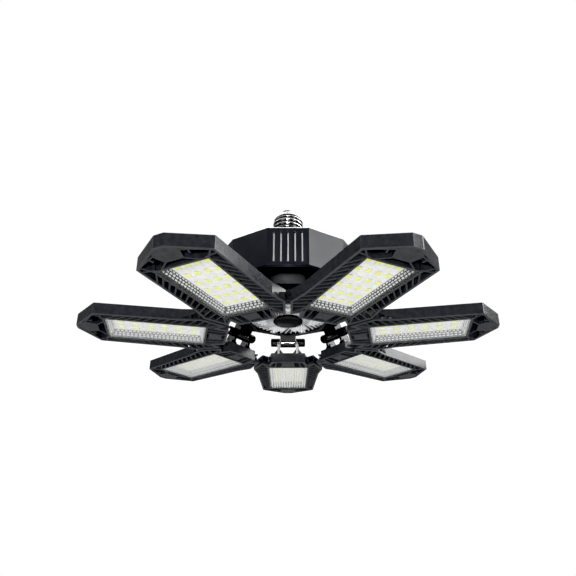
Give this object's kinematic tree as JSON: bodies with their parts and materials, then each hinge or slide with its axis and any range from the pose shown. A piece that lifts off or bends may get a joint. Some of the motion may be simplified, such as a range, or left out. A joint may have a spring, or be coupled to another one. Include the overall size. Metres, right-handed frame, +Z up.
{
  "type": "screw-in garage light with tilting panels",
  "caption": "Screw-in LED ceiling light for a garage: a faceted driver housing on a screw cap, a stem, and a hub ringed by lamp panels that tilt on friction hinges.",
  "frame": {"origin": "centre of the lamp cap's end contact, at its flat top", "axes": "+Z up along the light's axis, out of the cap; -Y is the front, where the camera of the picture stands, in the gap between two panels"},
  "size_m": [0.3104, 0.3026, 0.1249],
  "materials": {
    "cap_metal": "bright rolled nickel plate",
    "cap_glass": "dark glassy insulator",
    "contact_metal": "plain tinned contact",
    "housing_black": "fine satin moulded black",
    "hub_black": "satin moulded black",
    "panel_black": "satin moulded black with a slight blue cast",
    "bracket_black": "satin black enamel",
    "bolt_metal": "bright pin with black knobs",
    "screw_steel": "plain steel",
    "bare_aluminium": "mill finish sheet",
    "board_green": "coated circuit board",
    "transformer_dark": "ferrite and tape",
    "capacitor_sleeve": "shrink sleeve",
    "lead_insulation": "soft insulated wire",
    "reflector_bright": "bright polished",
    "lamp_board_white": "white solder mask with yellow phosphor chips",
    "lens_clear": "clear prismatic cover"
  },
  "bodies": {
    "root": {"screw_shell": "cap_metal", "cap_insulator": "cap_glass", "centre_contact": "contact_metal", "driver_housing": "housing_black", "heat_spreader": "bare_aluminium", "housing_cover": "housing_black", "housing_screws": "screw_steel", "driver_board": "board_green", "driver_transformer": "transformer_dark", "driver_capacitors": "capacitor_sleeve", "lead_wires": "lead_insulation", "stem": "housing_black", "stem_screws": "screw_steel", "hub_plate": "hub_black", "hub_board": "board_green", "hub_reflector": "reflector_bright", "reflector_screws": "screw_steel", "hub_cap": "hub_black"},
    "panel_1": {"panel_1_frame": "panel_black", "panel_1_led_board": "lamp_board_white", "panel_1_lens": "lens_clear", "panel_1_bracket": "bracket_black", "panel_1_hinge_bolt": "bolt_metal", "panel_1_bracket_screws": "screw_steel"},
    "panel_2": {"panel_2_frame": "panel_black", "panel_2_led_board": "lamp_board_white", "panel_2_lens": "lens_clear", "panel_2_bracket": "bracket_black", "panel_2_hinge_bolt": "bolt_metal", "panel_2_bracket_screws": "screw_steel"},
    "panel_3": {"panel_3_frame": "panel_black", "panel_3_led_board": "lamp_board_white", "panel_3_lens": "lens_clear", "panel_3_bracket": "bracket_black", "panel_3_hinge_bolt": "bolt_metal", "panel_3_bracket_screws": "screw_steel"},
    "panel_4": {"panel_4_frame": "panel_black", "panel_4_led_board": "lamp_board_white", "panel_4_lens": "lens_clear", "panel_4_bracket": "bracket_black", "panel_4_hinge_bolt": "bolt_metal", "panel_4_bracket_screws": "screw_steel"},
    "panel_5": {"panel_5_frame": "panel_black", "panel_5_led_board": "lamp_board_white", "panel_5_lens": "lens_clear", "panel_5_bracket": "bracket_black", "panel_5_hinge_bolt": "bolt_metal", "panel_5_bracket_screws": "screw_steel"},
    "panel_6": {"panel_6_frame": "panel_black", "panel_6_led_board": "lamp_board_white", "panel_6_lens": "lens_clear", "panel_6_bracket": "bracket_black", "panel_6_hinge_bolt": "bolt_metal", "panel_6_bracket_screws": "screw_steel"},
    "panel_7": {"panel_7_frame": "panel_black", "panel_7_led_board": "lamp_board_white", "panel_7_lens": "lens_clear", "panel_7_bracket": "bracket_black", "panel_7_hinge_bolt": "bolt_metal", "panel_7_bracket_screws": "screw_steel"}
  },
  "joints": [
    {"name": "panel_1_tilt", "type": "hinge", "parent": "root", "child": "panel_1", "pos_m": [0.02282, -0.04739, -0.1048], "axis": [-0.901, -0.4339, 0], "range_deg": [-5, 45]},
    {"name": "panel_2_tilt", "type": "hinge", "parent": "root", "child": "panel_2", "pos_m": [0.05128, -0.0117, -0.1048], "axis": [-0.2225, -0.9749, 0], "range_deg": [-5, 45]},
    {"name": "panel_3_tilt", "type": "hinge", "parent": "root", "child": "panel_3", "pos_m": [0.04112, 0.0328, -0.1048], "axis": [0.6235, -0.7818, 0], "range_deg": [-5, 45]},
    {"name": "panel_4_tilt", "type": "hinge", "parent": "root", "child": "panel_4", "pos_m": [0, 0.0526, -0.1048], "axis": [1, 0, 0], "range_deg": [-5, 45]},
    {"name": "panel_5_tilt", "type": "hinge", "parent": "root", "child": "panel_5", "pos_m": [-0.04112, 0.0328, -0.1048], "axis": [0.6235, 0.7818, 0], "range_deg": [-5, 45]},
    {"name": "panel_6_tilt", "type": "hinge", "parent": "root", "child": "panel_6", "pos_m": [-0.05128, -0.0117, -0.1048], "axis": [-0.2225, 0.9749, 0], "range_deg": [-5, 45]},
    {"name": "panel_7_tilt", "type": "hinge", "parent": "root", "child": "panel_7", "pos_m": [-0.02282, -0.04739, -0.1048], "axis": [-0.901, 0.4339, 0], "range_deg": [-5, 45]}
  ]
}
